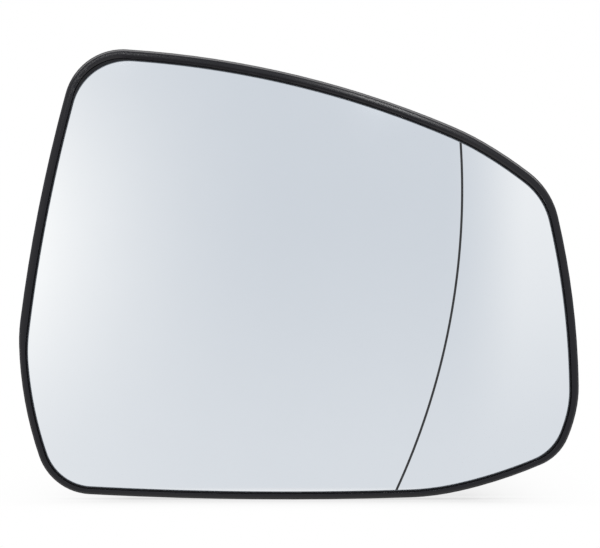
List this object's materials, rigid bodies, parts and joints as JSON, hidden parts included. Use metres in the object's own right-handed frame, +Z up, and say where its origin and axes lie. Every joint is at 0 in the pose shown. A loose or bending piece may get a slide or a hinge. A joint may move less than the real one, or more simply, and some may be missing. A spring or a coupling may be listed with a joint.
{
  "type": "car door mirror glass",
  "caption": "Convex right-hand door mirror glass, curved more past its etched dividing line, in a black moulded backing plate with a snap ring for the mirror actuator and heater terminals.",
  "frame": {"origin": "centre of the clip ring on the back, in the plane where the snap fingers catch the actuator", "axes": "+Y backwards along the clip ring's axis, the way the actuator comes off, so the glass faces -Y; +X away from the car; +Z up"},
  "size_m": [0.1802, 0.014, 0.1447],
  "materials": {
    "mirror_coat": "polished",
    "heater_film": "matt",
    "black_plastic": "satin, fine grain",
    "tinned_brass": "bright"
  },
  "bodies": {
    "root": {"mirror_glass": "mirror_coat", "heater_pad": "heater_film", "backing_plate": "black_plastic", "terminal_upper": "tinned_brass", "terminal_lower": "tinned_brass", "terminal_rivets": "tinned_brass"}
  },
  "joints": []
}
